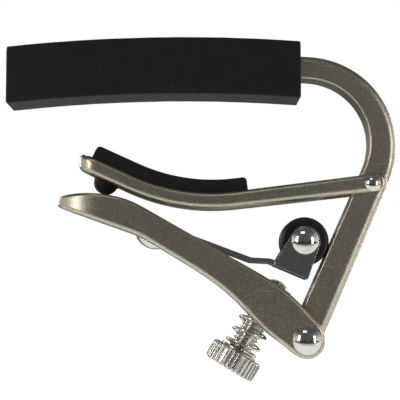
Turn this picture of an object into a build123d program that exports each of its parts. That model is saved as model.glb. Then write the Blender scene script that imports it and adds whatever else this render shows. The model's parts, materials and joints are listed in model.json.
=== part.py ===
"""Guitar capo: a hooked bar with a rubber string sleeve, closed by an over-centre lever.

Millimetres. The origin is the middle of the sleeve's underside, where the capo meets the strings.
+X runs across the fingerboard to the hinge side, +Y along the strings, +Z out of the fingerboard.
The lever is closed, and the arm hangs with its button just over the lever's nose.
"""

import os
from math import cos, degrees, radians, sin

from build123d import *

os.makedirs("parts", exist_ok=True)

# The side view: local x is +X, local y is +Z, and the sketch lies on the middle plane.
SIDE = Plane.XZ
CUT_REACH = 100.0  # longer than the capo, for cuts that run right through it

# Sleeve and bar: concentric arcs that follow the fingerboard's crown
ARCH_X = 6.4  # the crown's highest point
ARCH_RADIUS = 320.0
SLEEVE_LENGTH = 58.6
SLEEVE_HEIGHT = 11.4
SLEEVE_WIDTH = 10.6
SLEEVE_CORNER = 0.5
BAR_BELOW = 4.3  # rubber under the bar
BAR_THICK = 4.6
BAR_DEPTH = 6.35
BAR_END_RECESS = 1.5  # the bar's end stands inside the sleeve
SLEEVE_EASE = 0.05

# The bar's hook and leg
BEND_START = 4.43  # degrees past the crown's centre line
BEND_OUTER = 18.1
BEND_INNER = 12.73
LEG_LEAN_OUTER = 23.6  # degrees from upright
LEG_LEAN_INNER = 24.2
BAR_ROUND_OUTER = 1.5
BAR_ROUND_INNER = 0.4
BAR_FOOT = 3.0  # below the lever's hinge
BAR_FOOT_FLAT = 2.6

# Hinges
LEVER_PIVOT = (30.2, -48.8)
ARM_PIVOT = (43.4, -17.85)
RUNNING = 0.05  # radial clearance on a turning shaft
LEVER_RIVET_D = 3.2
LEVER_RIVET_HEAD_D = 5.7
LEVER_RIVET_HEAD_H = 1.3
ARM_RIVET_D = 2.0
ARM_RIVET_HEAD_D = 3.2
ARM_RIVET_HEAD_H = 0.8
ARM_WASHER_T = 0.25
ARM_WASHER_D = 4.4
LEVER_WASHER_T = 0.45
LEVER_WASHER_D = 5.4
WASHER_EASE = 0.03

# Arm: a channel open towards the neck
ARM_WALL = 1.2
ARM_INNER = 6.95
ARM_CURVE = (11.7, 18.5)  # centre of the curved stretch
ARM_CURVE_BELOW = 41.3
ARM_CURVE_ABOVE = 38.1
ARM_LEFT_TILT = 24.5  # degrees
ARM_RIGHT_TILT_BELOW = 6.4
ARM_RIGHT_TILT_ABOVE = 7.2
ARM_LEFT_X = -15.0
ARM_WEB_END_X = 34.0
ARM_EAR_REACH = 2.9  # past the arm's hinge
ARM_EAR_RADIUS = 1.65
ARM_END_CORNER = 3.4
ARM_ROUND_BELOW = 1.1
PAD_RISE = 2.6  # rubber above the channel's edge
PAD_LEFT = 2.0  # from the channel's closed end, on its floor
PAD_RIGHT_X = 19.0
PAD_EASE = 0.05
PAD_CORNER = 0.7
BUTTON_CENTRE = (-9.6, -17.25)
BUTTON_TILT = -90 - ARM_LEFT_TILT  # square to the web, away from the neck
BUTTON_RADIUS = 2.5
BUTTON_STEM_D = 3.0
STEM_HOLE_REACH = 5.0  # either side of the button's centre
STEM_IN_PAD = 1.0
STEM_IN_BUTTON = 0.5

# Lever: solid at the nose, a channel open at the back over the screw and the hinge
LEVER_WIDTH = 9.9
LEVER_INNER = 7.4
LEVER_END_RADIUS = 3.6
LEVER_END_SWEEP = 132.0  # degrees round the hinge
LEVER_NOSE_X = -19.4
LEVER_NOSE_TAPER = 9.0
LEVER_NOSE_TILT = 19.5  # degrees
LEVER_NOSE_RISE = (1, 0.5)  # direction of its upper edge at the nose
LEVER_CREST = ((-22.0, -21.3), (-17.4, -20.0), (-11.8, -19.75), (-6.2, -20.7))
LEVER_TOP_START = (-1.6, -22.75)
LEVER_TOP_TILT = 29.7  # degrees, the straight stretch of its upper edge
LEVER_TOP_END_X = 21.0
LEVER_SHOULDER = ((27.6, -40.3), (31.9, -44.7))
LEVER_UNDERSIDE = ((22.1, -46.95), (17.6, -42.3), (11.3, -36.85), (1.5, -30.7), (-4.9, -27.35))
LEVER_ROUND = 0.85
LEVER_CAVITY_FRONT = (13.0, -32.9)
LEVER_CAVITY_DEPTH = 8.0
LEVER_WEB_END = (28.6, -42.9)
LEVER_WEB_GAP = 8.0  # the cavity's rise past the end of the web

# Roller bracket: a strip with two ears, lying in a groove of the lever at its anchored end
STRIP_T = 1.0
STRIP_WIDTH = 6.0
STRIP_TILT = 20.6  # degrees
STRIP_ANCHOR = (0.66, -25.93)
STRIP_TAIL = 2.4
STRIP_RUN = 19.9  # from the anchor to the bend
STRIP_STEP = 3.8  # from the bend to the base
STEP_TILT = 3.0
STRIP_BEND_RADIUS = 1.5
STRIP_HOLE_EASE = 0.16
BASE_TILT = 23.0
BASE_LENGTH = 8.2
EAR_T = 1.0
EAR_INNER = 6.6
EAR_TOP_RADIUS = 2.95
GROOVE_WIDTH = 6.4
GROOVE_EASE = 0.2
ANCHOR_RIVET_D = 2.4
ANCHOR_HEAD_D = 5.6
ANCHOR_HEAD_H = 1.05
ANCHOR_SEAT = 3.82  # from the strip's middle to the lever's underside
ANCHOR_TOP_HEAD_D = 3.2
ANCHOR_TOP_HEAD_H = 0.7
ANCHOR_TOP_GAP = 0.36
ANCHOR_TILT = 62.1  # degrees from level, square to the lever's lower edge

# Roller
ROLLER_CENTRE = (30.0, -29.25)
ROLLER_D = 9.7
ROLLER_WIDTH = 6.0
ROLLER_RIM = 0.8
BUSH_D = 4.6
BUSH_WIDTH = 6.4
ROLLER_PIN_D = 2.6
ROLLER_PIN_HEAD_D = 5.3
ROLLER_PIN_HEAD_H = 1.1

# Adjusting screw
SCREW_TILT = 58.5  # degrees from level
SCREW_FOOT = (14.83, -54.41)  # middle of the knob's outer face
KNOB_D = 10.6
KNOB_H = 3.85
KNOB_RIM = 0.6
KNOB_FLUTES = 34
FLUTE_DEPTH = 0.3
STUD_D = 4.8
STUD_LENGTH = 20.2  # through the knob, to the top of its domed tip
STUD_DOME = 1.1
STUD_FOOT_RECESS = 0.3
INSERT_D = 6.2
INSERT_START = 16.4  # from the knob's outer face to the flange, which lies on the web's inner face
INSERT_FLANGE_D = 7.0
INSERT_FLANGE_T = 0.6
INSERT_LENGTH = 2.1
SPRING_D = 7.1
SPRING_WIRE = 0.6
SPRING_TURNS = 5
SPRING_WASHER_T = 0.4
SPRING_WASHER_D = 7.6


def polar(start, distance, angle):
    """The side-view point that lies at a distance from another, at an angle in degrees from +X."""
    return (start[0] + distance * cos(radians(angle)), start[1] + distance * sin(radians(angle)))


def side_point(point, y=0.0):
    """A side-view point as a point in space."""
    return Vector(point[0], y, point[1])


def rim_edges(part, outline, end_x=None):
    """The edges of a part that run along an outline of the side view, with those across one end."""
    chosen = []
    for edge in part.edges():
        middle = edge @ 0.5
        crosswise = abs((edge % 0.5).Y) > 0.99
        at_end = end_x is not None and abs(middle.X - end_x) < 1e-3
        near = outline.distance_to(Vector(middle.X, 0, middle.Z)) < 1e-2
        if near and (at_end or not crosswise):
            chosen.append(edge)
    return chosen


def axis_plane(point, tilt):
    """A sketch plane through the middle of the capo: local y runs along the tilt, local x across it."""
    return Plane(side_point(point), x_dir=(sin(radians(tilt)), 0, -cos(radians(tilt))), z_dir=(0, -1, 0))


def square_plane(point, tilt, distance=0.0):
    """A sketch plane square to an axis of the side view."""
    direction = (cos(radians(tilt)), 0, sin(radians(tilt)))
    return Plane(side_point(polar(point, distance, tilt)), x_dir=(0, 1, 0), z_dir=direction)


def cross_plane(point):
    """A sketch plane through a hinge: local x is +X, local y is +Y."""
    return Plane(side_point(point), x_dir=(1, 0, 0), z_dir=(0, 0, 1))


def rivet_outline(shank_d, grip, head_d, head_h):
    """Draws half the section of a rivet with two domed heads; its axis is local y."""
    pole = grip / 2 + head_h
    for end in (1, -1):
        cap = TangentArc((0, end * pole), (head_d / 2, end * grip / 2), tangent=(1, 0))
        Line(cap @ 1, (shank_d / 2, end * grip / 2))
    Line((shank_d / 2, grip / 2), (shank_d / 2, -grip / 2))
    Line((0, pole), (0, -pole))


def save(builder, name):
    builder.part.label = name
    export_step(builder.part, f"parts/{name}.step")


# ---------------------------------------------------------------- string sleeve

arch_centre = (ARCH_X, -ARCH_RADIUS)
bar_inner_radius = ARCH_RADIUS + BAR_BELOW
bar_outer_radius = bar_inner_radius + BAR_THICK


def arch_angle(x, radius):
    """The polar angle, about the arch's centre, of the point of an arc that has this x."""
    return 90 - degrees(((x - ARCH_X) / radius))


def arch_band(low_radius, high_radius, left_x, right_x):
    """Draws the closed outline of a stretch of the arch."""
    start = arch_angle(left_x, low_radius)
    end = arch_angle(right_x, low_radius)
    low = CenterArc(arch_centre, low_radius, start, end - start)
    high = CenterArc(arch_centre, high_radius, start, end - start)
    Line(low @ 0, high @ 0)
    Line(low @ 1, high @ 1)


with BuildPart() as string_sleeve:
    with BuildSketch(SIDE):
        with BuildLine():
            arch_band(ARCH_RADIUS, ARCH_RADIUS + SLEEVE_HEIGHT, -SLEEVE_LENGTH, SLEEVE_LENGTH)
        make_face()
        # The ends are cut square to the length.
        Rectangle(SLEEVE_LENGTH, SLEEVE_LENGTH, mode=Mode.INTERSECT)
    extrude(amount=SLEEVE_WIDTH / 2, both=True)
    long_edges = [e for e in string_sleeve.edges() if e.length > SLEEVE_LENGTH / 2]
    fillet(long_edges, SLEEVE_CORNER)
    with BuildSketch(SIDE):
        with BuildLine():
            low = bar_inner_radius - SLEEVE_EASE
            high = bar_outer_radius + SLEEVE_EASE
            arch_band(low, high, -SLEEVE_LENGTH, SLEEVE_LENGTH)
        make_face()
    extrude(amount=BAR_DEPTH / 2 + SLEEVE_EASE, both=True, mode=Mode.SUBTRACT)
save(string_sleeve, "string_sleeve")

# ---------------------------------------------------------------- frame bar


def bend_centre(arch_radius, bend_radius):
    """The centre of a bend that leaves an arc of the arch smoothly."""
    return polar(arch_centre, arch_radius - bend_radius, 90 - BEND_START)


bar_left_angle = arch_angle(-SLEEVE_LENGTH / 2 + BAR_END_RECESS, bar_inner_radius)


def bar_edge(arch_radius, bend_radius, lean):
    """Draws one long edge of the bar, from its end in the sleeve to the foot of its leg."""
    sweep_angle = 90 - BEND_START - bar_left_angle
    arch = CenterArc(arch_centre, arch_radius, bar_left_angle, sweep_angle)
    centre = bend_centre(arch_radius, bend_radius)
    bend = CenterArc(centre, bend_radius, 90 - BEND_START, -(90 - BEND_START) - lean)
    down = Vector(-sin(radians(lean)), -cos(radians(lean)))
    reach = (Vector(*LEVER_PIVOT) - Vector(*polar(centre, bend_radius, -lean))).dot(down)
    foot = Line(bend @ 1, Vector(*polar(polar(centre, bend_radius, -lean), reach, -90 - lean)))
    return arch, bend, foot


with BuildPart() as frame_bar:
    with BuildSketch(SIDE):
        with BuildLine() as outer_edge:
            outer_arch, _, outer_leg = bar_edge(bar_outer_radius, BEND_OUTER, LEG_LEAN_OUTER)
        with BuildLine() as inner_edge:
            inner_arch, _, inner_leg = bar_edge(bar_inner_radius, BEND_INNER, LEG_LEAN_INNER)
        with BuildLine():
            Line(outer_arch @ 0, inner_arch @ 0)
            foot = polar(LEVER_PIVOT, BAR_FOOT, -90 - LEG_LEAN_OUTER)
            foot_outer = polar(foot, BAR_FOOT_FLAT / 2, -LEG_LEAN_OUTER)
            foot_inner = polar(foot, BAR_FOOT_FLAT / 2, 180 - LEG_LEAN_OUTER)
            Polyline(outer_leg @ 1, foot_outer, foot_inner, inner_leg @ 1)
        make_face()
    extrude(amount=BAR_DEPTH / 2, both=True)
    outer_outline = SIDE.from_local_coords(outer_edge.line)
    inner_outline = SIDE.from_local_coords(inner_edge.line)
    fillet(rim_edges(frame_bar, inner_outline), BAR_ROUND_INNER)
    fillet(rim_edges(frame_bar, outer_outline), BAR_ROUND_OUTER)
    with BuildSketch(SIDE):
        with Locations(LEVER_PIVOT):
            Circle(LEVER_RIVET_D / 2 + RUNNING)
        with Locations(ARM_PIVOT):
            Circle(ARM_RIVET_D / 2 + RUNNING)
    extrude(amount=BAR_DEPTH, both=True, mode=Mode.SUBTRACT)
save(frame_bar, "frame_bar")

# ---------------------------------------------------------------- arm


def arm_line(radius, right_tilt, left_x, right_x):
    """Draws a long line of the arm: straight, curved under the neck, then straight to the hinge."""
    curve = CenterArc(ARM_CURVE, radius, -90 - ARM_LEFT_TILT, ARM_LEFT_TILT + right_tilt)
    left_reach = ((curve @ 0).X - left_x) / cos(radians(ARM_LEFT_TILT))
    right_reach = (right_x - (curve @ 1).X) / cos(radians(right_tilt))
    left_end = (curve @ 0) + Vector(*polar((0, 0), left_reach, 180 - ARM_LEFT_TILT))
    right_end = (curve @ 1) + Vector(*polar((0, 0), right_reach, right_tilt))
    left = Line(left_end, curve @ 0)
    right = Line(curve @ 1, right_end)
    return left, right


def arm_band(below, above, left_x, right_x, lean=0.0):
    """Draws a closed outline between two long lines of the arm; the upper one starts further in."""
    low_left, low_right = arm_line(below, ARM_RIGHT_TILT_BELOW, left_x, right_x)
    high_left, high_right = arm_line(above, ARM_RIGHT_TILT_ABOVE, left_x + lean, right_x)
    Line(low_left @ 0, high_left @ 0)
    Line(low_right @ 1, high_right @ 1)


arm_half = ARM_INNER / 2 + ARM_WALL
arm_right_x = ARM_PIVOT[0] + ARM_EAR_REACH

with BuildPart() as arm_channel:
    with BuildSketch(SIDE):
        with BuildLine():
            arm_band(ARM_CURVE_BELOW, ARM_CURVE_ABOVE, ARM_LEFT_X, arm_right_x)
        make_face()
        fillet(vertices().group_by(Axis.X)[-1], ARM_EAR_RADIUS)
    extrude(amount=arm_half, both=True)
    # The closed end is rounded in plan.
    with BuildSketch():
        with Locations((ARM_LEFT_X, 0)):
            Rectangle(CUT_REACH, 2 * arm_half, align=(Align.MIN, Align.CENTER))
        fillet(vertices().group_by(Axis.X)[0], ARM_END_CORNER)
    extrude(amount=CUT_REACH, both=True, mode=Mode.INTERSECT)
    with BuildLine(SIDE, mode=Mode.PRIVATE) as arm_low_edge:
        arm_line(ARM_CURVE_BELOW, ARM_RIGHT_TILT_BELOW, ARM_LEFT_X, arm_right_x - ARM_EAR_RADIUS)
    fillet(rim_edges(arm_channel, arm_low_edge.line, ARM_LEFT_X), ARM_ROUND_BELOW)
    # The channel: first above the web, then right through between the ears.
    with BuildSketch(SIDE):
        with BuildLine():
            floor_radius = ARM_CURVE_BELOW - ARM_WALL
            arm_band(floor_radius, ARM_CURVE_ABOVE - ARM_WALL, ARM_LEFT_X + ARM_WALL, 2 * arm_right_x)
        make_face()
    extrude(amount=ARM_INNER / 2, both=True, mode=Mode.SUBTRACT)
    with BuildSketch(SIDE):
        with Locations((ARM_WEB_END_X, ARM_PIVOT[1])):
            Rectangle(CUT_REACH, CUT_REACH, align=(Align.MIN, Align.CENTER))
    extrude(amount=ARM_INNER / 2, both=True, mode=Mode.SUBTRACT)
    with BuildSketch(SIDE):
        with Locations(ARM_PIVOT):
            Circle(ARM_RIVET_D / 2 + RUNNING)
    extrude(amount=2 * arm_half, both=True, mode=Mode.SUBTRACT)
    with BuildSketch(square_plane(BUTTON_CENTRE, BUTTON_TILT)):
        Circle(BUTTON_STEM_D / 2)
    extrude(amount=STEM_HOLE_REACH, both=True, mode=Mode.SUBTRACT)
save(arm_channel, "arm_channel")

with BuildPart() as neck_pad:
    with BuildSketch(SIDE):
        with BuildLine():
            top_radius = ARM_CURVE_ABOVE - PAD_RISE
            pad_lean = (floor_radius - top_radius) * sin(radians(ARM_LEFT_TILT))
            arm_band(floor_radius, top_radius, ARM_LEFT_X + PAD_LEFT, PAD_RIGHT_X, pad_lean)
        make_face()
        fillet(vertices().group_by(Axis.Y)[-1], PAD_CORNER)
    extrude(amount=ARM_INNER / 2 - PAD_EASE, both=True)
    with BuildSketch(square_plane(BUTTON_CENTRE, BUTTON_TILT, -ARM_WALL - STEM_IN_PAD)):
        Circle(BUTTON_STEM_D / 2)
    extrude(amount=ARM_WALL + STEM_IN_PAD + STEM_IN_BUTTON)
    with BuildSketch(axis_plane(BUTTON_CENTRE, BUTTON_TILT)):
        with BuildLine():
            dome = CenterArc((0, 0), BUTTON_RADIUS, 0, 90)
            Polyline(dome @ 1, (0, 0), dome @ 0)
        make_face()
    revolve(axis=Axis(side_point(BUTTON_CENTRE), square_plane(BUTTON_CENTRE, BUTTON_TILT).z_dir))
save(neck_pad, "neck_pad")

with BuildPart() as arm_rivet:
    with BuildSketch(cross_plane(ARM_PIVOT)):
        with BuildLine():
            rivet_outline(ARM_RIVET_D, 2 * (arm_half + RUNNING), ARM_RIVET_HEAD_D, ARM_RIVET_HEAD_H)
        make_face()
    revolve(axis=Axis(side_point(ARM_PIVOT), (0, 1, 0)))
save(arm_rivet, "arm_rivet")

# ---------------------------------------------------------------- hinge washers


def washer(pivot, bore_d, outer_d, thickness, side):
    """One washer against the bar; side is 1 behind the bar and -1 in front of it."""
    with BuildPart() as ring:
        with BuildSketch(SIDE.offset(-side * (BAR_DEPTH / 2 + WASHER_EASE))):
            with Locations(pivot):
                Circle(outer_d / 2)
                Circle(bore_d / 2, mode=Mode.SUBTRACT)
        extrude(amount=-side * thickness)
    return ring


for side, place in ((-1, "front"), (1, "back")):
    arm_washer = washer(ARM_PIVOT, ARM_RIVET_D, ARM_WASHER_D, ARM_WASHER_T, side)
    save(arm_washer, f"arm_washer_{place}")
    lever_washer = washer(LEVER_PIVOT, LEVER_RIVET_D, LEVER_WASHER_D, LEVER_WASHER_T, side)
    save(lever_washer, f"lever_washer_{place}")

# ---------------------------------------------------------------- lever


def lever_top():
    """Draws the lever's upper edge, from the nose to the hinge's level."""
    down = (cos(radians(LEVER_TOP_TILT)), -sin(radians(LEVER_TOP_TILT)))
    crest = Spline(*LEVER_CREST, LEVER_TOP_START, tangents=[LEVER_NOSE_RISE, down])
    straight_length = (LEVER_TOP_END_X - LEVER_TOP_START[0]) / down[0]
    straight = Line(crest @ 1, polar(LEVER_TOP_START, straight_length, -LEVER_TOP_TILT))
    end = (LEVER_PIVOT[0] + LEVER_END_RADIUS, LEVER_PIVOT[1])
    Spline(straight @ 1, *LEVER_SHOULDER, end, tangents=[down, (0, -1)])


def lever_bottom():
    """Draws the lever's end round the hinge and its lower edge back to the nose."""
    end = CenterArc(LEVER_PIVOT, LEVER_END_RADIUS, 0, -LEVER_END_SWEEP)
    nose_direction = polar((0, 0), 1, 180 - LEVER_NOSE_TILT)
    lower = Spline(end @ 1, *LEVER_UNDERSIDE, tangents=[end % 1, nose_direction])
    nose_length = (LEVER_UNDERSIDE[-1][0] - LEVER_CREST[0][0]) / cos(radians(LEVER_NOSE_TILT))
    return Line(lower @ 1, polar(LEVER_UNDERSIDE[-1], nose_length, 180 - LEVER_NOSE_TILT))


with BuildPart() as lever_shell:
    with BuildSketch(SIDE):
        with BuildLine() as lever_top_edge:
            lever_top()
        with BuildLine() as lever_low_edge:
            nose_line = lever_bottom()
        with BuildLine():
            Line(nose_line @ 1, LEVER_CREST[0])
        make_face()
    extrude(amount=LEVER_WIDTH / 2, both=True)
    # The nose is a half ellipse in plan.
    with BuildSketch():
        with Locations((LEVER_NOSE_X + LEVER_NOSE_TAPER, 0)):
            Ellipse(LEVER_NOSE_TAPER, LEVER_WIDTH / 2)
            Rectangle(CUT_REACH, LEVER_WIDTH, align=(Align.MIN, Align.CENTER))
    extrude(amount=CUT_REACH, both=True, mode=Mode.INTERSECT)
    # The rims run smoothly round the hinge, so one rounding follows them from nose to nose.
    fillet(rim_edges(lever_shell, SIDE.from_local_coords(lever_top_edge.line)), LEVER_ROUND)
    with BuildSketch(SIDE):
        with BuildLine():
            cavity_back = polar(LEVER_CAVITY_FRONT, LEVER_CAVITY_DEPTH, -90 - LEVER_TOP_TILT)
            gap_top = LEVER_WEB_END[1] + LEVER_WEB_GAP
            Polyline(
                LEVER_CAVITY_FRONT,
                LEVER_WEB_END,
                (LEVER_WEB_END[0], gap_top),
                (CUT_REACH, gap_top),
                (CUT_REACH, -CUT_REACH),
                (cavity_back[0], -CUT_REACH),
                cavity_back,
                close=True,
            )
        make_face()
    extrude(amount=LEVER_INNER / 2, both=True, mode=Mode.SUBTRACT)
    # The groove for the bracket's strip.
    with BuildSketch(SIDE):
        with BuildLine():
            floor_drop = STRIP_T / 2 + GROOVE_EASE
            tail_end = polar(STRIP_ANCHOR, STRIP_TAIL + GROOVE_EASE, 180 - STRIP_TILT)
            corner = polar(tail_end, floor_drop, -90 - STRIP_TILT)
            far = polar(corner, CUT_REACH, -STRIP_TILT)
            Polyline(corner, far, polar(far, CUT_REACH, 90), polar(corner, CUT_REACH, 90), close=True)
        make_face()
    extrude(amount=GROOVE_WIDTH / 2, both=True, mode=Mode.SUBTRACT)
    with BuildSketch(SIDE):
        with Locations(LEVER_PIVOT):
            Circle(LEVER_RIVET_D / 2)
    extrude(amount=LEVER_WIDTH, both=True, mode=Mode.SUBTRACT)
    with BuildSketch(square_plane(STRIP_ANCHOR, ANCHOR_TILT)):
        Circle(ANCHOR_RIVET_D / 2)
    extrude(amount=CUT_REACH, both=True, mode=Mode.SUBTRACT)
    with BuildSketch(square_plane(SCREW_FOOT, SCREW_TILT)):
        Circle(INSERT_D / 2)
    extrude(amount=CUT_REACH, mode=Mode.SUBTRACT)
save(lever_shell, "lever_shell")

with BuildPart() as lever_rivet:
    with BuildSketch(cross_plane(LEVER_PIVOT)):
        with BuildLine():
            rivet_outline(LEVER_RIVET_D, LEVER_WIDTH, LEVER_RIVET_HEAD_D, LEVER_RIVET_HEAD_H)
        make_face()
    revolve(axis=Axis(side_point(LEVER_PIVOT), (0, 1, 0)))
save(lever_rivet, "lever_rivet")

# ---------------------------------------------------------------- roller bracket

strip_bend = polar(STRIP_ANCHOR, STRIP_RUN, -STRIP_TILT)
strip_step = polar(strip_bend, STRIP_STEP, -STEP_TILT)
base_end = polar(strip_step, BASE_LENGTH, -BASE_TILT)

with BuildPart() as roller_bracket:
    with BuildSketch(SIDE):
        with BuildLine():
            strip_tail = polar(STRIP_ANCHOR, STRIP_TAIL, 180 - STRIP_TILT)
            FilletPolyline(strip_tail, strip_bend, strip_step, base_end, radius=STRIP_BEND_RADIUS)
        trace(line_width=STRIP_T)
    extrude(amount=STRIP_WIDTH / 2, both=True)
    with BuildSketch(SIDE):
        with BuildLine():
            Line(polar(strip_step, STRIP_T, -BASE_TILT), base_end)
        trace(line_width=STRIP_T)
    extrude(amount=EAR_INNER / 2 + EAR_T, both=True)
    with BuildSketch(SIDE.offset(EAR_INNER / 2)):
        with Locations(ROLLER_CENTRE):
            Circle(EAR_TOP_RADIUS)
        with BuildLine():
            Line(polar(strip_step, STRIP_T, -BASE_TILT), base_end)
        make_hull()
    extrude(amount=EAR_T)
    mirror(about=Plane.XZ)
    with BuildSketch(SIDE):
        with Locations(ROLLER_CENTRE):
            Circle(ROLLER_PIN_D / 2)
    extrude(amount=EAR_INNER, both=True, mode=Mode.SUBTRACT)
    with BuildSketch(square_plane(STRIP_ANCHOR, ANCHOR_TILT)):
        Circle(ANCHOR_RIVET_D / 2 + STRIP_HOLE_EASE)
    extrude(amount=STRIP_WIDTH / 2, both=True, mode=Mode.SUBTRACT)
save(roller_bracket, "roller_bracket")

with BuildPart() as anchor_rivet:
    with BuildSketch(axis_plane(STRIP_ANCHOR, ANCHOR_TILT)):
        with BuildLine():
            top = STRIP_T / 2 + ANCHOR_TOP_GAP
            upper = TangentArc((0, top + ANCHOR_TOP_HEAD_H), (ANCHOR_TOP_HEAD_D / 2, top), tangent=(1, 0))
            lower = TangentArc(
                (0, -ANCHOR_SEAT - ANCHOR_HEAD_H), (ANCHOR_HEAD_D / 2, -ANCHOR_SEAT), tangent=(1, 0)
            )
            shank = ANCHOR_RIVET_D / 2
            Polyline(upper @ 1, (shank, top), (shank, -ANCHOR_SEAT), lower @ 1)
            Line(upper @ 0, lower @ 0)
        make_face()
    revolve(axis=Axis(side_point(STRIP_ANCHOR), square_plane(STRIP_ANCHOR, ANCHOR_TILT).z_dir))
save(anchor_rivet, "anchor_rivet")

# ---------------------------------------------------------------- roller


def ring_of(outer_d, inner_d, width, rim=0.0):
    """A roller or bush: a ring about the roller's axis, with rounded rims."""
    with BuildPart() as ring:
        with BuildSketch(SIDE):
            with Locations(ROLLER_CENTRE):
                Circle(outer_d / 2)
        extrude(amount=width / 2, both=True)
        if rim:
            fillet(ring.edges().filter_by(GeomType.CIRCLE), rim)
        with BuildSketch(SIDE):
            with Locations(ROLLER_CENTRE):
                Circle(inner_d / 2)
        extrude(amount=width, both=True, mode=Mode.SUBTRACT)
    return ring


roller = ring_of(ROLLER_D, BUSH_D, ROLLER_WIDTH, ROLLER_RIM)
save(roller, "roller")

roller_bush = ring_of(BUSH_D, ROLLER_PIN_D + 2 * RUNNING, BUSH_WIDTH)
save(roller_bush, "roller_bush")

with BuildPart() as roller_pin:
    with BuildSketch(cross_plane(ROLLER_CENTRE)):
        with BuildLine():
            pin_grip = EAR_INNER + 2 * EAR_T
            rivet_outline(ROLLER_PIN_D, pin_grip, ROLLER_PIN_HEAD_D, ROLLER_PIN_HEAD_H)
        make_face()
    revolve(axis=Axis(side_point(ROLLER_CENTRE), (0, 1, 0)))
save(roller_pin, "roller_pin")

# ---------------------------------------------------------------- adjusting screw

screw_axis = Axis(side_point(SCREW_FOOT), square_plane(SCREW_FOOT, SCREW_TILT).z_dir)

with BuildPart() as thumb_knob:
    with BuildSketch(square_plane(SCREW_FOOT, SCREW_TILT)):
        Circle(KNOB_D / 2)
        Circle(STUD_D / 2, mode=Mode.SUBTRACT)
    extrude(amount=KNOB_H)
    fillet(thumb_knob.edges().group_by(SortBy.LENGTH)[-1], KNOB_RIM)
    with BuildSketch(square_plane(SCREW_FOOT, SCREW_TILT)):
        with PolarLocations(KNOB_D / 2, KNOB_FLUTES):
            Circle(FLUTE_DEPTH)
    extrude(amount=KNOB_H, mode=Mode.SUBTRACT)
save(thumb_knob, "thumb_knob")

with BuildPart() as screw_stud:
    with BuildSketch(axis_plane(SCREW_FOOT, SCREW_TILT)):
        with BuildLine():
            radius = STUD_D / 2
            tip = TangentArc((0, STUD_LENGTH), (radius, STUD_LENGTH - STUD_DOME), tangent=(1, 0))
            Polyline(tip @ 1, (radius, STUD_FOOT_RECESS), (0, STUD_FOOT_RECESS), (0, STUD_LENGTH))
        make_face()
    revolve(axis=screw_axis)
save(screw_stud, "screw_stud")

with BuildPart() as threaded_insert:
    with BuildSketch(square_plane(SCREW_FOOT, SCREW_TILT, INSERT_START)):
        Circle(INSERT_FLANGE_D / 2)
        Circle(STUD_D / 2 + RUNNING, mode=Mode.SUBTRACT)
    extrude(amount=INSERT_FLANGE_T)
    with BuildSketch(square_plane(SCREW_FOOT, SCREW_TILT, INSERT_START + INSERT_FLANGE_T)):
        Circle(INSERT_D / 2)
        Circle(STUD_D / 2 + RUNNING, mode=Mode.SUBTRACT)
    extrude(amount=INSERT_LENGTH)
save(threaded_insert, "threaded_insert")

with BuildPart() as spring_washer:
    with BuildSketch(square_plane(SCREW_FOOT, SCREW_TILT, KNOB_H + WASHER_EASE)):
        Circle(SPRING_WASHER_D / 2)
        Circle(STUD_D / 2 + RUNNING, mode=Mode.SUBTRACT)
    extrude(amount=SPRING_WASHER_T)
save(spring_washer, "spring_washer")

spring_foot = KNOB_H + WASHER_EASE + SPRING_WASHER_T + SPRING_WIRE / 2
spring_height = INSERT_START - SPRING_WIRE / 2 - spring_foot

with BuildPart() as tension_spring:
    with BuildLine():
        coil = Helix(
            pitch=spring_height / SPRING_TURNS,
            height=spring_height,
            radius=(SPRING_D - SPRING_WIRE) / 2,
            center=side_point(polar(SCREW_FOOT, spring_foot, SCREW_TILT)),
            direction=screw_axis.direction,
        )
    with BuildSketch(Plane(coil @ 0, z_dir=coil % 0)):
        Circle(SPRING_WIRE / 2)
    sweep()
save(tension_spring, "tension_spring")
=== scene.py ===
"""Looks of the guitar capo: metal and rubber finishes, and the pieces that the CAD model keeps plain.

Metres, in the CAD frame: +X across the fingerboard to the hinge side, +Y along the strings, +Z up.
"""

import json
from math import cos, pi, radians, sin, tau

import bpy
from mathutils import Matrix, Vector, noise

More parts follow.
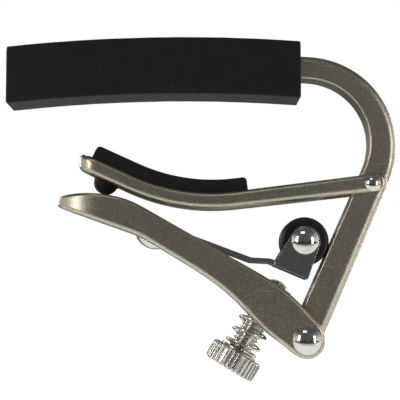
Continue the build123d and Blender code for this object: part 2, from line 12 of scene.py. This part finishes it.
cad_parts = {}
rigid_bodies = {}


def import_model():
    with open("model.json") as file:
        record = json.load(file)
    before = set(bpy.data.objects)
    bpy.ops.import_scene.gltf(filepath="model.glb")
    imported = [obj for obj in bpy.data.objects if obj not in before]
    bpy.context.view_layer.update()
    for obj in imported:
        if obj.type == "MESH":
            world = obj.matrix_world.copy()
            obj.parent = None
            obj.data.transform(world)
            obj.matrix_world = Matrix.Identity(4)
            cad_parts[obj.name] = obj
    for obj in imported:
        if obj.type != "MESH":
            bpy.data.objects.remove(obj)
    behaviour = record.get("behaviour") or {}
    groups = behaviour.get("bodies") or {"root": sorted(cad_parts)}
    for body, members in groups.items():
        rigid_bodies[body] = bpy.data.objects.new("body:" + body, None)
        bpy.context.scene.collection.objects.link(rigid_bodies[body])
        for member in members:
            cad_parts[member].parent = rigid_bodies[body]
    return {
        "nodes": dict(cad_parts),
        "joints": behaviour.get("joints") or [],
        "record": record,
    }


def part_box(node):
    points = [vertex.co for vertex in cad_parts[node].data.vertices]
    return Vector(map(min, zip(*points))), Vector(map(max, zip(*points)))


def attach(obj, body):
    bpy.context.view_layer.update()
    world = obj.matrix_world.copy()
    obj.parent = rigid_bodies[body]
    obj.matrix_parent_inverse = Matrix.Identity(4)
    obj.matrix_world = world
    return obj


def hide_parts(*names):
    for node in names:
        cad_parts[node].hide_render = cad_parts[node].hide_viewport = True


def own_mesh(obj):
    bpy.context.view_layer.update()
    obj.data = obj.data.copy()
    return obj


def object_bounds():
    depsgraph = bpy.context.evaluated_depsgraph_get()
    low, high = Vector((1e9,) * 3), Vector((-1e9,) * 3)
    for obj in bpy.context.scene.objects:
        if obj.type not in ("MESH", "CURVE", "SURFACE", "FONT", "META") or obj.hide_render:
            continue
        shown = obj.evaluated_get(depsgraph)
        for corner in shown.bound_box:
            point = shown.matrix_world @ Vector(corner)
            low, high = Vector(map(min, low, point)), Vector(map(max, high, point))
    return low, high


for leftover in list(bpy.data.objects):
    bpy.data.objects.remove(leftover)

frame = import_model()
cad_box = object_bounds()

MM = 0.001
JOINTS = {joint["name"]: joint for joint in frame["joints"]}


# ---------------------------------------------------------------- places worked out from the frame

def span_along(node, origin, axis):
    """How far a CAD node reaches along an axis: its lowest and highest place from the origin."""
    places = [(v.co - origin).dot(axis) for v in frame["nodes"][node].data.vertices]
    return min(places), max(places)


def widest_from(node, origin, axis):
    """The largest distance of a CAD node from an axis."""
    offsets = [v.co - origin for v in frame["nodes"][node].data.vertices]
    return max((offset - axis * offset.dot(axis)).length for offset in offsets)


SCREW_AXIS = Vector(JOINTS["screw_advance"]["axis"]).normalized()
SCREW_FOOT = Vector(JOINTS["screw_turn"]["pos_m"])


# ---------------------------------------------------------------- node materials

class Finish:
    """A Principled material with short ways to add procedural detail. Lengths are in millimetres."""

    def __init__(self, name, **sockets):
        self.material = bpy.data.materials.new(name)
        self.material.use_nodes = True
        self.tree = self.material.node_tree
        self.shader = self.tree.nodes["Principled BSDF"]
        for socket, value in sockets.items():
            self.shader.inputs[socket.replace("_", " ")].default_value = value
        self.place = self.add("ShaderNodeTexCoord").outputs["Object"]

    def add(self, kind, **values):
        node = self.tree.nodes.new(kind)
        for name, value in values.items():
            setattr(node, name, value)
        return node

    def link(self, source, target):
        self.tree.links.new(source, target)

    def stretched(self, scale, turn=(0, 0, 0)):
        """The place, turned and scaled, so that a pattern runs along one direction."""
        mapping = self.add("ShaderNodeMapping")
        mapping.inputs["Rotation"].default_value = turn
        mapping.inputs["Scale"].default_value = scale
        self.link(self.place, mapping.inputs["Vector"])
        return mapping.outputs["Vector"]

    def noise(self, size, detail=2.0, rough=0.5, place=None):
        """Soft cloudy noise; size is the width of its blots."""
        node = self.add("ShaderNodeTexNoise")
        node.inputs["Scale"].default_value = 1 / (size * MM)
        node.inputs["Detail"].default_value = detail
        node.inputs["Roughness"].default_value = rough
        self.link(place or self.place, node.inputs["Vector"])
        return node.outputs["Fac"]

    def cells(self, size):
        """The distance to the nearest of many scattered points."""
        node = self.add("ShaderNodeTexVoronoi")
        node.inputs["Scale"].default_value = 1 / (size * MM)
        self.link(self.place, node.inputs["Vector"])
        return node.outputs["Distance"]

    def spread(self, source, low, high, to_low=0.0, to_high=1.0):
        """The source between low and high, spread smoothly between two other values."""
        node = self.add("ShaderNodeMapRange", interpolation_type="SMOOTHSTEP")
        for name, value in zip(("From Min", "From Max", "To Min", "To Max"), (low, high, to_low, to_high)):
            node.inputs[name].default_value = value
        self.link(source, node.inputs["Value"])
        return node.outputs["Result"]

    def sum(self, first, second, operation="ADD"):
        node = self.add("ShaderNodeMath", operation=operation)
        for socket, value in zip(node.inputs, (first, second)):
            if isinstance(value, (int, float)):
                socket.default_value = value
            else:
                self.link(value, socket)
        return node.outputs["Value"]

    def mix(self, share, first, second):
        """A colour between two colours; either is a colour or another node's output."""
        node = self.add("ShaderNodeMix", data_type="RGBA")
        self.link(share, node.inputs["Factor"])
        for name, value in (("A", first), ("B", second)):
            socket = [s for s in node.inputs if s.name == name and s.type == "RGBA"][0]
            if isinstance(value, tuple):
                socket.default_value = (*value, 1)
            else:
                self.link(value, socket)
        return [s for s in node.outputs if s.type == "RGBA"][0]

    def edges(self, radius):
        """A share that is high on sharp edges and low on flat faces, and the normal rounded there."""
        bevel = self.add("ShaderNodeBevel", samples=6)
        bevel.inputs["Radius"].default_value = radius * MM
        flat = self.add("ShaderNodeNewGeometry")
        product = self.add("ShaderNodeVectorMath", operation="DOT_PRODUCT")
        self.link(bevel.outputs["Normal"], product.inputs[0])
        self.link(flat.outputs["Normal"], product.inputs[1])
        return self.spread(product.outputs["Value"], 0.99, 0.85), bevel.outputs["Normal"]

    def bump(self, height, depth, normal=None):
        node = self.add("ShaderNodeBump")
        node.inputs["Strength"].default_value = 1.0
        node.inputs["Distance"].default_value = depth * MM
        self.link(height, node.inputs["Height"])
        if normal:
            self.link(normal, node.inputs["Normal"])
        self.link(node.outputs["Normal"], self.shader.inputs["Normal"])

    def colour(self, source):
        self.link(source, self.shader.inputs["Base Color"])

    def roughness(self, source):
        self.link(source, self.shader.inputs["Roughness"])


def satin_nickel():
    """Bead-blasted nickel plate: a fine sparkle, worn smooth on its edges and lighter in colour there:
    partly wear, partly a painted highlight.
    """
    finish = Finish("satin_nickel", Metallic=1.0)
    blast = finish.noise(0.24, 3.0, 0.65)
    grain = finish.noise(0.14, 1.0)
    cloud = finish.noise(6.0, 2.0)
    scratch = finish.noise(0.3, 1.0, 0.4, finish.stretched((0.05, 1, 1), (0, radians(38), 0)))
    edge_wear_and_highlight, rounded = finish.edges(0.25)
    dark, light, bright = (0.42, 0.38, 0.295), (0.70, 0.64, 0.51), (0.90, 0.84, 0.71)
    base = finish.mix(finish.spread(blast, 0.34, 0.66), dark, light)
    base = finish.mix(finish.spread(cloud, 0.35, 0.75, 0.0, 0.35), base, (0.50, 0.44, 0.34))
    base = finish.mix(finish.spread(scratch, 0.70, 0.76, 0.0, 0.5), base, bright)
    # Lighter colour on the sharp edges: partly worn plating, partly a painted highlight.
    finish.colour(finish.mix(finish.sum(edge_wear_and_highlight, 0.55, "MULTIPLY"), base, bright))
    rough = finish.spread(grain, 0.3, 0.7, 0.28, 0.42)
    finish.roughness(finish.sum(rough, finish.sum(edge_wear_and_highlight, 0.12, "MULTIPLY"), "SUBTRACT"))
    height = finish.sum(finish.sum(blast, grain), finish.sum(scratch, -0.5, "MULTIPLY"))
    finish.bump(height, 0.015, rounded)
    return finish.material


def polished_steel(name, tint, rough, edge=0.12):
    """Bright steel with faint smears and hairline marks."""
    finish = Finish(name, Metallic=1.0)
    smear = finish.noise(1.6, 3.0, 0.6)
    hairline = finish.noise(0.22, 2.0, 0.6, finish.stretched((0.12, 1, 1), (0, radians(24), 0)))
    edge_wear_and_highlight, rounded = finish.edges(edge)
    dull = tuple(part * 0.82 for part in tint)
    base = finish.mix(finish.spread(smear, 0.35, 0.7), tint, dull)
    # Lighter colour on the sharp edges: partly wear, partly a painted highlight.
    finish.colour(finish.mix(finish.sum(edge_wear_and_highlight, 0.6, "MULTIPLY"), base, (0.93, 0.91, 0.87)))
    soft = finish.spread(smear, 0.3, 0.7, rough, rough * 1.8)
    finish.roughness(finish.sum(soft, finish.spread(hairline, 0.62, 0.72, 0.0, 0.10)))
    finish.bump(hairline, 0.002, rounded)
    return finish.material


def plain_steel():
    finish = Finish("washer_steel", Metallic=1.0)
    grain = finish.noise(0.2, 2.0)
    _, rounded = finish.edges(0.06)
    finish.colour(finish.mix(finish.spread(grain, 0.3, 0.7), (0.40, 0.39, 0.36), (0.60, 0.58, 0.54)))
    finish.roughness(finish.spread(grain, 0.3, 0.7, 0.28, 0.42))
    finish.bump(grain, 0.006, rounded)
    return finish.material


def turned_brass():
    finish = Finish("bush_brass", Metallic=1.0)
    grain = finish.noise(0.25, 2.0)
    finish.colour(finish.mix(finish.spread(grain, 0.3, 0.7), (0.62, 0.46, 0.20), (0.78, 0.62, 0.33)))
    finish.roughness(finish.spread(grain, 0.3, 0.7, 0.22, 0.34))
    finish.bump(grain, 0.004)
    return finish.material


def black_rubber():
    """Moulded rubber: matt, faintly mottled, with a few pale nicks and dust specks."""
    finish = Finish("black_rubber", Specular_IOR_Level=0.28, Sheen_Weight=0.12, Sheen_Roughness=0.5)
    mottle = finish.noise(2.4, 4.0, 0.6)
    skin = finish.noise(0.25, 2.0, 0.6)
    speck = finish.cells(2.3)
    patch = finish.noise(5.0, 1.0)
    edge_wear_and_highlight, rounded = finish.edges(0.3)
    base = finish.mix(finish.spread(mottle, 0.3, 0.7), (0.0050, 0.0050, 0.0052), (0.0092, 0.0088, 0.0084))
    # Paler colour on the sharp edges: partly rubbed wear, partly a painted highlight.
    base = finish.mix(finish.sum(edge_wear_and_highlight, 0.35, "MULTIPLY"), base, (0.030, 0.027, 0.023))
    dust = finish.sum(finish.spread(speck, 0.075, 0.045), finish.spread(patch, 0.50, 0.62), "MULTIPLY")
    finish.colour(finish.mix(finish.sum(dust, 0.8, "MULTIPLY"), base, (0.085, 0.080, 0.072)))
    finish.roughness(finish.spread(mottle, 0.3, 0.7, 0.58, 0.74))
    finish.bump(finish.sum(skin, finish.sum(dust, -1.5, "MULTIPLY")), 0.02, rounded)
    return finish.material


TURNING_PITCH = 0.22 * MM


def black_roller():
    """Hard black plastic, turned: rings round its axle, and softly rounded edges."""
    finish = Finish("black_roller", Specular_IOR_Level=0.45)
    centre = Vector(JOINTS["roller_spin"]["pos_m"])
    shift = finish.add("ShaderNodeVectorMath", operation="SUBTRACT")
    finish.link(finish.place, shift.inputs[0])
    shift.inputs[1].default_value = centre
    flat = finish.add("ShaderNodeVectorMath", operation="MULTIPLY")
    finish.link(shift.outputs["Vector"], flat.inputs[0])
    flat.inputs[1].default_value = (1, 0, 1)
    length = finish.add("ShaderNodeVectorMath", operation="LENGTH")
    finish.link(flat.outputs["Vector"], length.inputs[0])
    rings = finish.sum(finish.sum(length.outputs["Value"], tau / TURNING_PITCH, "MULTIPLY"), 0.0, "SINE")
    cloud = finish.noise(1.2, 3.0, 0.6)
    _, rounded = finish.edges(0.15)
    finish.colour(finish.mix(finish.spread(cloud, 0.3, 0.7), (0.006, 0.006, 0.006), (0.012, 0.0115, 0.011)))
    finish.roughness(finish.spread(cloud, 0.3, 0.7, 0.34, 0.50))
    finish.bump(rings, 0.003, rounded)
    return finish.material


SKINS = {
    "satin_nickel": satin_nickel(),
    "polished_steel": polished_steel("polished_steel", (0.80, 0.78, 0.74), 0.07),
    "bracket_steel": polished_steel("bracket_steel", (0.62, 0.61, 0.60), 0.14),
    "screw_nickel": polished_steel("screw_nickel", (0.74, 0.71, 0.65), 0.15),
    "spring_steel": polished_steel("spring_steel", (0.70, 0.67, 0.61), 0.16),
    "washer_steel": plain_steel(),
    "bush_brass": turned_brass(),
    "black_rubber": black_rubber(),
    "black_roller": black_roller(),
}
SLOT_OF = {row["node"]: row["material_slot"] for row in frame["record"]["subparts"]}

for node, piece in frame["nodes"].items():
    for material_slot in piece.material_slots:
        material_slot.material = SKINS[SLOT_OF[node]]


# ---------------------------------------------------------------- mesh helpers

def add_piece(name, rings, node, body, closed=False):
    """Skins a run of point rings, gives the piece the finish of a CAD node's slot, and hangs it on a body.

    The last ring joins the first if closed is true; otherwise both ends get a centre point."""
    count = len(rings[0])
    points = [point for ring in rings for point in ring]
    faces = []
    last = len(rings) if closed else len(rings) - 1
    for row in range(last):
        low, high = row * count, (row + 1) % len(rings) * count
        for column in range(count):
            beside = (column + 1) % count
            faces.append((low + column, low + beside, high + beside, high + column))
    if not closed:
        for start, step in ((0, -1), ((len(rings) - 1) * count, 1)):
            hub = len(points)
            points.append(sum(points[start:start + count], Vector()) / count)
            for column in range(count):
                pair = (start + column, start + (column + 1) % count)
                faces.append((hub, *pair[::step]))
    mesh = bpy.data.meshes.new(name)
    mesh.from_pydata([tuple(point) for point in points], [], faces)
    mesh.polygons.foreach_set("use_smooth", [True] * len(faces))
    mesh.materials.append(SKINS[SLOT_OF[node]])
    mesh.validate()
    piece = bpy.data.objects.new(name, mesh)
    bpy.context.scene.collection.objects.link(piece)
    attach(piece, body)
    return piece


def turned(profile, origin, axis, segments):
    """Rings for a turned piece; the profile's points are (place along the axis, radius)."""
    to_axis = axis.to_track_quat("Z", "Y").to_matrix()
    rings = []
    for place, radius in profile:
        ring = []
        for step in range(segments):
            angle = tau * step / segments
            across = Vector((radius * cos(angle), radius * sin(angle), 0))
            ring.append(origin + axis * place + to_axis @ across)
        rings.append(ring)
    return rings


def rounded_section(half_width, low, high, low_corner, high_corner, steps=6, side_steps=6):
    """A rounded rectangle as (y, z) points, anticlockwise from the lower right corner.

    Every section has the same number of points, so sections of different sizes join up."""
    corners = (
        (half_width - low_corner, low + low_corner, low_corner, -90),
        (half_width - high_corner, high - high_corner, high_corner, 0),
        (-half_width + high_corner, high - high_corner, high_corner, 90),
        (-half_width + low_corner, low + low_corner, low_corner, 180),
    )
    section = []
    for y, z, radius, start in corners:
        for step in range(steps + 1):
            angle = radians(start + 90 * step / steps)
            section.append((y + radius * cos(angle), z + radius * sin(angle)))
    whole = []
    for index, point in enumerate(section):
        whole.append(point)
        if index % (steps + 1) == steps:
            following = section[(index + 1) % len(section)]
            for step in range(1, side_steps):
                share = step / side_steps
                whole.append(tuple(a + (b - a) * share for a, b in zip(point, following)))
    return whole


def uneven(point, size, depth):
    """A small, smooth, repeatable offset for moulded surfaces."""
    return noise.noise(point / size) * depth


# ---------------------------------------------------------------- string sleeve

ARCH_CENTRE = Vector((6.4, 0, -320)) * MM
ARCH_RADIUS = 320 * MM
SLEEVE_HEIGHT = 11.4 * MM
SLEEVE_LOW_EDGE = 0.3 * MM
SLEEVE_HIGH_EDGE = 0.5 * MM
SLEEVE_TUNNEL = (4.3 * MM, 8.9 * MM)  # the bar's lower and upper face, above the underside
TUNNEL_LOW_EDGE = 0.2 * MM
TUNNEL_HIGH_EDGE = 0.3 * MM
TUNNEL_STATIONS = 4
SLEEVE_STATIONS = 120
END_ROUND = 0.3 * MM
BROAD_DENTS = (5.0 * MM, 0.06 * MM)  # size, depth
FINE_DENTS = (0.9 * MM, 0.015 * MM)
END_STEPS = ((0.0, 1.0), (0.3, 0.45), (0.7, 0.12))  # shares of END_ROUND: along the sleeve, inwards


def on_arch(x, y, height):
    """The point at a place x, y and a height above the sleeve's curved underside."""
    level = ((ARCH_RADIUS + height) ** 2 - (x - ARCH_CENTRE.x) ** 2) ** 0.5
    return Vector((x, y, ARCH_CENTRE.z + level))


def string_sleeve():
    """A rubber tube cut square at both ends: slightly uneven, with narrow rounded edges."""
    low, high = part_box("string_sleeve")
    tunnel_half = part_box("frame_bar")[1].y
    places = []
    for part, inward in END_STEPS:
        places.append((low.x + part * END_ROUND, inward * END_ROUND))
    inner_length = high.x - low.x - 2 * END_ROUND
    for station in range(SLEEVE_STATIONS + 1):
        places.append((low.x + END_ROUND + inner_length * station / SLEEVE_STATIONS, 0.0))
    for part, inward in reversed(END_STEPS):
        places.append((high.x - part * END_ROUND, inward * END_ROUND))
    skin = []
    for x, inward in places:
        outline = rounded_section(
            high.y - inward, inward, SLEEVE_HEIGHT - inward, SLEEVE_LOW_EDGE, SLEEVE_HIGH_EDGE, 4, 8
        )
        ring = []
        for y, z in outline:
            point = on_arch(x, y, z)
            inwards = Vector((0, -y, SLEEVE_HEIGHT / 2 - z)).normalized()
            dent = abs(uneven(point, *BROAD_DENTS)) + abs(uneven(point, *FINE_DENTS))
            ring.append(point + inwards * dent)
        skin.append(ring)
    tunnel = rounded_section(tunnel_half, *SLEEVE_TUNNEL, TUNNEL_LOW_EDGE, TUNNEL_HIGH_EDGE, 4, 8)
    for step in range(TUNNEL_STATIONS + 1):
        x = high.x + (low.x - high.x) * step / TUNNEL_STATIONS
        skin.append([on_arch(x, y, z) for y, z in tunnel])
    piece = add_piece("sleeve_rubber", skin, "string_sleeve", "frame", closed=True)
    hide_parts("string_sleeve")


string_sleeve()


# ---------------------------------------------------------------- neck pad and button

ARM_CENTRE = Vector((11.7, 0, 18.5)) * MM
ARM_LEFT_TILT = 24.5  # degrees
ARM_RIGHT_TILT = 6.9
PAD_FLOOR = 40.1 * MM  # radius of the channel's floor
PAD_TOP = 35.5 * MM
PAD_START = -13.0 * MM  # at the channel's floor
PAD_ROUND = 0.75 * MM
PAD_LOW_EDGE = 0.15 * MM
PAD_HIGH_EDGE = 0.6 * MM
PAD_CROWN = 0.18 * MM
PAD_DENTS = (2.5 * MM, 0.03 * MM)
PAD_STATIONS = 70


def on_arm(length, y, radius):
    """The point at a length along the pad's floor from the foot of the arm's left curve."""
    curve = radians(ARM_LEFT_TILT + ARM_RIGHT_TILT) * PAD_FLOOR
    turned_by = min(max(length, 0.0), curve) / PAD_FLOOR
    angle = radians(-90 - ARM_LEFT_TILT) + turned_by
    outward = Vector((cos(angle), 0, sin(angle)))
    forward = Vector((-sin(angle), 0, cos(angle)))
    past = length - min(max(length, 0.0), curve)
    return ARM_CENTRE + outward * radius + forward * past + Vector((0, y, 0))


def arm_length_at(x):
    """The length along the pad's floor at which it has this x."""
    low, high = -40 * MM, 60 * MM
    for _ in range(40):
        middle = (low + high) / 2
        if on_arm(middle, 0, PAD_FLOOR).x < x:
            low = middle
        else:
            high = middle
    return low


def neck_pad():
    """A moulded strip that fills the channel and stands above it, with soft upper edges."""
    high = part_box("neck_pad")[1]
    start = arm_length_at(PAD_START)
    end = arm_length_at(high.x)
    rings = []
    for station in range(PAD_STATIONS + 1):
        share = (1 - cos(pi * station / PAD_STATIONS)) / 2
        length = start + (end - start) * share
        to_end = min(length - start, end - length)
        inset = PAD_ROUND - min(to_end, PAD_ROUND)
        drop = PAD_ROUND - (max(PAD_ROUND ** 2 - inset ** 2, 0.0)) ** 0.5
        thick = PAD_FLOOR - PAD_TOP - drop
        outline = rounded_section(high.y, 0.0, thick, PAD_LOW_EDGE, PAD_HIGH_EDGE)
        ring = []
        for y, z in outline:
            crown = PAD_CROWN * max(0.0, 1 - (y / high.y) ** 2) * (z / thick)
            point = on_arm(length, y, PAD_FLOOR - z - crown)
            ring.append(point + Vector((0, uneven(point, *PAD_DENTS), 0)))
        rings.append(ring)
    pad = add_piece("pad_rubber", rings, "neck_pad", "arm")
    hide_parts("neck_pad")


BUTTON_CENTRE = Vector((-9.6, 0, -17.25)) * MM
BUTTON_RADIUS = 2.5 * MM
BUTTON_STEM_RADIUS = 1.45 * MM
BUTTON_STEM_LENGTH = 1.6 * MM
BUTTON_STEPS = 15
BUTTON_SEGMENTS = 48


def bumper_button():
    """The domed end of the pad's stem, under the arm, with a moulded collar where it meets the metal."""
    radius = BUTTON_RADIUS
    tilt = radians(-90 - ARM_LEFT_TILT)
    axis = Vector((cos(tilt), 0, sin(tilt)))
    profile = [
        (-BUTTON_STEM_LENGTH, BUTTON_STEM_RADIUS),
        (-0.05 * MM, BUTTON_STEM_RADIUS),
        (0.02 * MM, radius * 1.03),
        (0.25 * MM, radius * 1.04),
    ]
    for step in range(1, BUTTON_STEPS):
        angle = pi / 2 * step / BUTTON_STEPS
        profile.append((radius * sin(angle), radius * cos(angle) ** 0.92))
    profile.append((radius, 0.08 * MM))
    rings = turned(profile, BUTTON_CENTRE, axis, BUTTON_SEGMENTS)
    button = add_piece("button_rubber", rings, "neck_pad", "arm")


neck_pad()
bumper_button()


# ---------------------------------------------------------------- adjusting screw and spring

THREAD_PITCH = 0.8 * MM
THREAD_DEPTH = 0.42 * MM
THREAD_STEPS = 12  # to a turn's pitch
THREAD_SEGMENTS = 40
STUD_IN_KNOB = 0.4 * MM  # the last plain ring, below the knob's top
THREAD_IN_KNOB = 0.3 * MM  # the thread's first ring, below the knob's top
THREAD_FADE_IN = 0.4 * MM
THREAD_FADE_OUT = 0.5 * MM
THREAD_TIP_GAP = 0.35 * MM  # plain shank under the dome
CREST_SHARE = 0.12  # of half a pitch, as FLANK_SHARE
FLANK_SHARE = 0.70
FOOT_STEP = 0.001 * MM
FOOT_INSET = 0.25 * MM
TIP_DOME = 1.1 * MM
DOME_STEPS = 12


def thread_radius(place, angle, crest):
    """The radius of a right-hand thread with narrow crests."""
    turn_share = (place / THREAD_PITCH - angle / tau) % 1
    flank = abs(2 * turn_share - 1)
    return crest - THREAD_DEPTH * min(1.0, max(0.0, (flank - CREST_SHARE) / FLANK_SHARE))


def threaded_stud():
    """The screw's shank: plain in the knob, threaded above it, with a polished domed tip."""
    foot, tip = span_along("screw_stud", SCREW_FOOT, SCREW_AXIS)
    crest = widest_from("screw_stud", SCREW_FOOT, SCREW_AXIS)
    knob_top = span_along("thumb_knob", SCREW_FOOT, SCREW_AXIS)[1]
    thread_end = tip - TIP_DOME - THREAD_TIP_GAP
    to_axis = SCREW_AXIS.to_track_quat("Z", "Y").to_matrix()
    places = [foot, foot + FOOT_STEP, knob_top - STUD_IN_KNOB]
    place = knob_top - THREAD_IN_KNOB
    while place < thread_end:
        places.append(place)
        place += THREAD_PITCH / THREAD_STEPS
    rings = []
    for index, place in enumerate(places):
        fade_in = max(0.0, (place - knob_top) / THREAD_FADE_IN)
        fade_out = max(0.0, (thread_end - place) / THREAD_FADE_OUT)
        fade = min(1.0, fade_in, fade_out)
        ring = []
        for step in range(THREAD_SEGMENTS):
            angle = tau * step / THREAD_SEGMENTS
            radius = crest - (crest - thread_radius(place, angle, crest)) * fade
            if index == 0:
                radius = crest - FOOT_INSET
            across = Vector((radius * cos(angle), radius * sin(angle), 0))
            ring.append(SCREW_FOOT + SCREW_AXIS * place + to_axis @ across)
        rings.append(ring)
    cap = (crest ** 2 + TIP_DOME ** 2) / (2 * TIP_DOME)
    dome = []
    for step in range(DOME_STEPS):
        radius = crest * (1 - step / DOME_STEPS)
        dome.append((tip - cap + (cap ** 2 - radius ** 2) ** 0.5, radius))
    rings += turned(dome, SCREW_FOOT, SCREW_AXIS, THREAD_SEGMENTS)
    stud = add_piece("threaded_stud", rings, "screw_stud", "screw")
    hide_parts("screw_stud")


SPRING_TURNS = 5.6
SPRING_CLOSED = 0.8  # turns lying flat at each end
SPRING_STEPS = 40  # to a turn
SPRING_PHASE = pi
WIRE_SEGMENTS = 14
WIRE_RADIUS = 0.3 * MM
WIRE_END_SHARE = 0.86  # of the wire's radius, at its two ends
CLOSED_SHARE = 1.02  # pitch of the closed turns, in wire thicknesses


def coil_spring():
    """A compression spring with closed ends, standing between the washer and the insert's flange."""
    low, high = span_along("tension_spring", SCREW_FOOT, SCREW_AXIS)
    outer = widest_from("tension_spring", SCREW_FOOT, SCREW_AXIS)
    wire = WIRE_RADIUS
    mean = outer - wire
    to_axis = SCREW_AXIS.to_track_quat("Z", "Y").to_matrix()
    closed_pitch = 2 * wire * CLOSED_SHARE
    open_turns = SPRING_TURNS - 2 * SPRING_CLOSED
    open_pitch = (high - low - 2 * wire - 2 * SPRING_CLOSED * closed_pitch) / open_turns

    def height(turn):
        """The wire's height after so many turns, before its changes of pitch are smoothed."""
        if turn <= SPRING_CLOSED:
            return turn * closed_pitch
        if turn >= SPRING_TURNS - SPRING_CLOSED:
            return high - low - 2 * wire - (SPRING_TURNS - turn) * closed_pitch
        return SPRING_CLOSED * closed_pitch + (turn - SPRING_CLOSED) * open_pitch

    steps = int(SPRING_TURNS * SPRING_STEPS)
    reach = SPRING_STEPS // 5  # steps either side that a height is averaged over
    heights = [height(SPRING_TURNS * i / steps) for i in range(steps + 1)]
    line = []
    for i in range(steps + 1):
        near = [heights[i]]
        if reach <= i <= steps - reach:
            near = heights[i - reach:i + reach + 1]
        angle = tau * SPRING_TURNS * i / steps + SPRING_PHASE
        across = to_axis @ Vector((mean * cos(angle), mean * sin(angle), 0))
        line.append(SCREW_FOOT + SCREW_AXIS * (low + wire + sum(near) / len(near)) + across)
    rings = []
    for i, point in enumerate(line):
        ahead = (line[min(i + 1, steps)] - line[max(i - 1, 0)]).normalized()
        outward = (point - SCREW_FOOT - SCREW_AXIS * (point - SCREW_FOOT).dot(SCREW_AXIS)).normalized()
        side = ahead.cross(outward)
        end_scale = WIRE_END_SHARE if i in (0, steps) else 1.0
        ring = []
        for k in range(WIRE_SEGMENTS):
            angle = tau * k / WIRE_SEGMENTS
            ring.append(point + (outward * cos(angle) + side * sin(angle)) * wire * end_scale)
        rings.append(ring)
    spring = add_piece("spring_coil", rings, "tension_spring", "lever")
    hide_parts("tension_spring")
    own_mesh(spring)


threaded_stud()
coil_spring()


# ---------------------------------------------------------------- camera, floor and light

CAMERA_PLACE = Vector((8.45, -245, -40.8)) * MM
CAMERA_AIM = Vector((9.25, 0, -20.8)) * MM
CAMERA_LENS = 110  # millimetres, on a 36 mm sensor
FLOOR_SIZE = 6.0
FLOOR_DROP = 50 * MM  # clear of the lever, which opens to 44 mm below the resting object
FLOOR_GLOW = 0.56  # to everything but the camera, which sees it white
TENT_FRONT = (0.85, 0.30)  # how far a direction points along the strings: dark, pale
TENT_TOP = (0.75, 0.05)  # how far it points up: dark, pale
TENT_DARK = 0.10
TENT_PALE = 0.75
FLOOR_LIT = (60 * MM, 220 * MM)  # how far in front or behind it starts to darken, and is dark


def aim(thing, place, target):
    thing.location = place
    thing.rotation_euler = (target - place).to_track_quat("-Z", "Y").to_euler()


def add_camera():
    data = bpy.data.cameras.new("camera")
    data.lens = CAMERA_LENS
    data.clip_start = 1 * MM
    camera = bpy.data.objects.new("camera", data)
    aim(camera, CAMERA_PLACE, CAMERA_AIM)
    bpy.context.scene.collection.objects.link(camera)
    bpy.context.scene.camera = camera


def add_floor():
    """A plain pale floor below the open lever. It lights the object only from close by."""
    finish = Finish("floor_white", Roughness=0.9, Specular_IOR_Level=0.0)
    split = finish.add("ShaderNodeSeparateXYZ")
    finish.link(finish.place, split.inputs["Vector"])
    away = finish.sum(split.outputs["Y"], 0.0, "ABSOLUTE")
    near = finish.spread(away, FLOOR_LIT[0], FLOOR_LIT[1], 1.0, 0.05)
    seen = finish.add("ShaderNodeLightPath").outputs["Is Camera Ray"]
    finish.colour(finish.mix(finish.sum(near, seen, "MAXIMUM"), (0, 0, 0), (0.90, 0.90, 0.90)))
    glow = finish.mix(near, (0, 0, 0), (FLOOR_GLOW, FLOOR_GLOW, FLOOR_GLOW))
    finish.link(finish.mix(seen, glow, (1, 1, 1)), finish.shader.inputs["Emission Color"])
    finish.shader.inputs["Emission Strength"].default_value = 1.0
    mesh = bpy.data.meshes.new("floor")
    half = FLOOR_SIZE / 2
    z = cad_box[0].z - FLOOR_DROP
    corners = [(-half, -half, z), (half, -half, z), (half, half, z), (-half, half, z)]
    mesh.from_pydata(corners, [], [(0, 1, 2, 3)])
    mesh.materials.append(finish.material)
    floor = bpy.data.objects.new("floor", mesh)
    bpy.context.scene.collection.objects.link(floor)


def add_light(name, place, size, power):
    """A soft panel of light, aimed at the middle of the object."""
    data = bpy.data.lights.new(name, "AREA")
    data.shape = "RECTANGLE"
    data.size, data.size_y = size
    data.energy = power
    light = bpy.data.objects.new(name, data)
    aim(light, Vector(place), (cad_box[0] + cad_box[1]) / 2)
    bpy.context.scene.collection.objects.link(light)


def add_world():
    """A white backdrop to the camera; to the object, a tent that is pale beside and below it."""
    world = bpy.data.worlds.new("light_tent")
    bpy.context.scene.world = world
    world.use_nodes = True
    tree = world.node_tree

    def add(kind, **values):
        node = tree.nodes.new(kind)
        for name, value in values.items():
            setattr(node, name, value)
        return node

    def share(source, low, high):
        node = add("ShaderNodeMapRange", interpolation_type="SMOOTHSTEP")
        node.inputs["From Min"].default_value = low
        node.inputs["From Max"].default_value = high
        tree.links.new(source, node.inputs["Value"])
        return node.outputs["Result"]

    def joined(first, second, operation):
        node = add("ShaderNodeMath", operation=operation)
        for socket, value in zip(node.inputs, (first, second)):
            if isinstance(value, (int, float)):
                socket.default_value = value
            else:
                tree.links.new(value, socket)
        return node.outputs["Value"]

    split = add("ShaderNodeSeparateXYZ")
    tree.links.new(add("ShaderNodeTexCoord").outputs["Generated"], split.inputs["Vector"])
    across = joined(split.outputs["Y"], 0.0, "ABSOLUTE")
    beside = share(across, *TENT_FRONT)
    below = share(split.outputs["Z"], *TENT_TOP)
    tone = joined(joined(beside, below, "MULTIPLY"), TENT_PALE - TENT_DARK, "MULTIPLY")
    tone = joined(tone, TENT_DARK, "ADD")
    camera_ray = add("ShaderNodeLightPath").outputs["Is Camera Ray"]
    tone = joined(tone, camera_ray, "MAXIMUM")
    tree.links.new(tone, tree.nodes["Background"].inputs["Color"])


add_camera()
add_floor()
add_world()
add_light("left_panel", (-0.28, -0.26, 0.06), (0.07, 0.22), 0.34)
add_light("right_panel", (0.30, -0.24, 0.00), (0.05, 0.22), 0.26)
add_light("back_left_panel", (-0.28, 0.26, 0.06), (0.07, 0.22), 0.30)
add_light("back_right_panel", (0.30, 0.24, 0.00), (0.05, 0.22), 0.30)
add_light("top_panel", (-0.05, -0.25, 0.34), (0.16, 0.10), 0.10)
bpy.context.scene.view_settings.view_transform = "Standard"
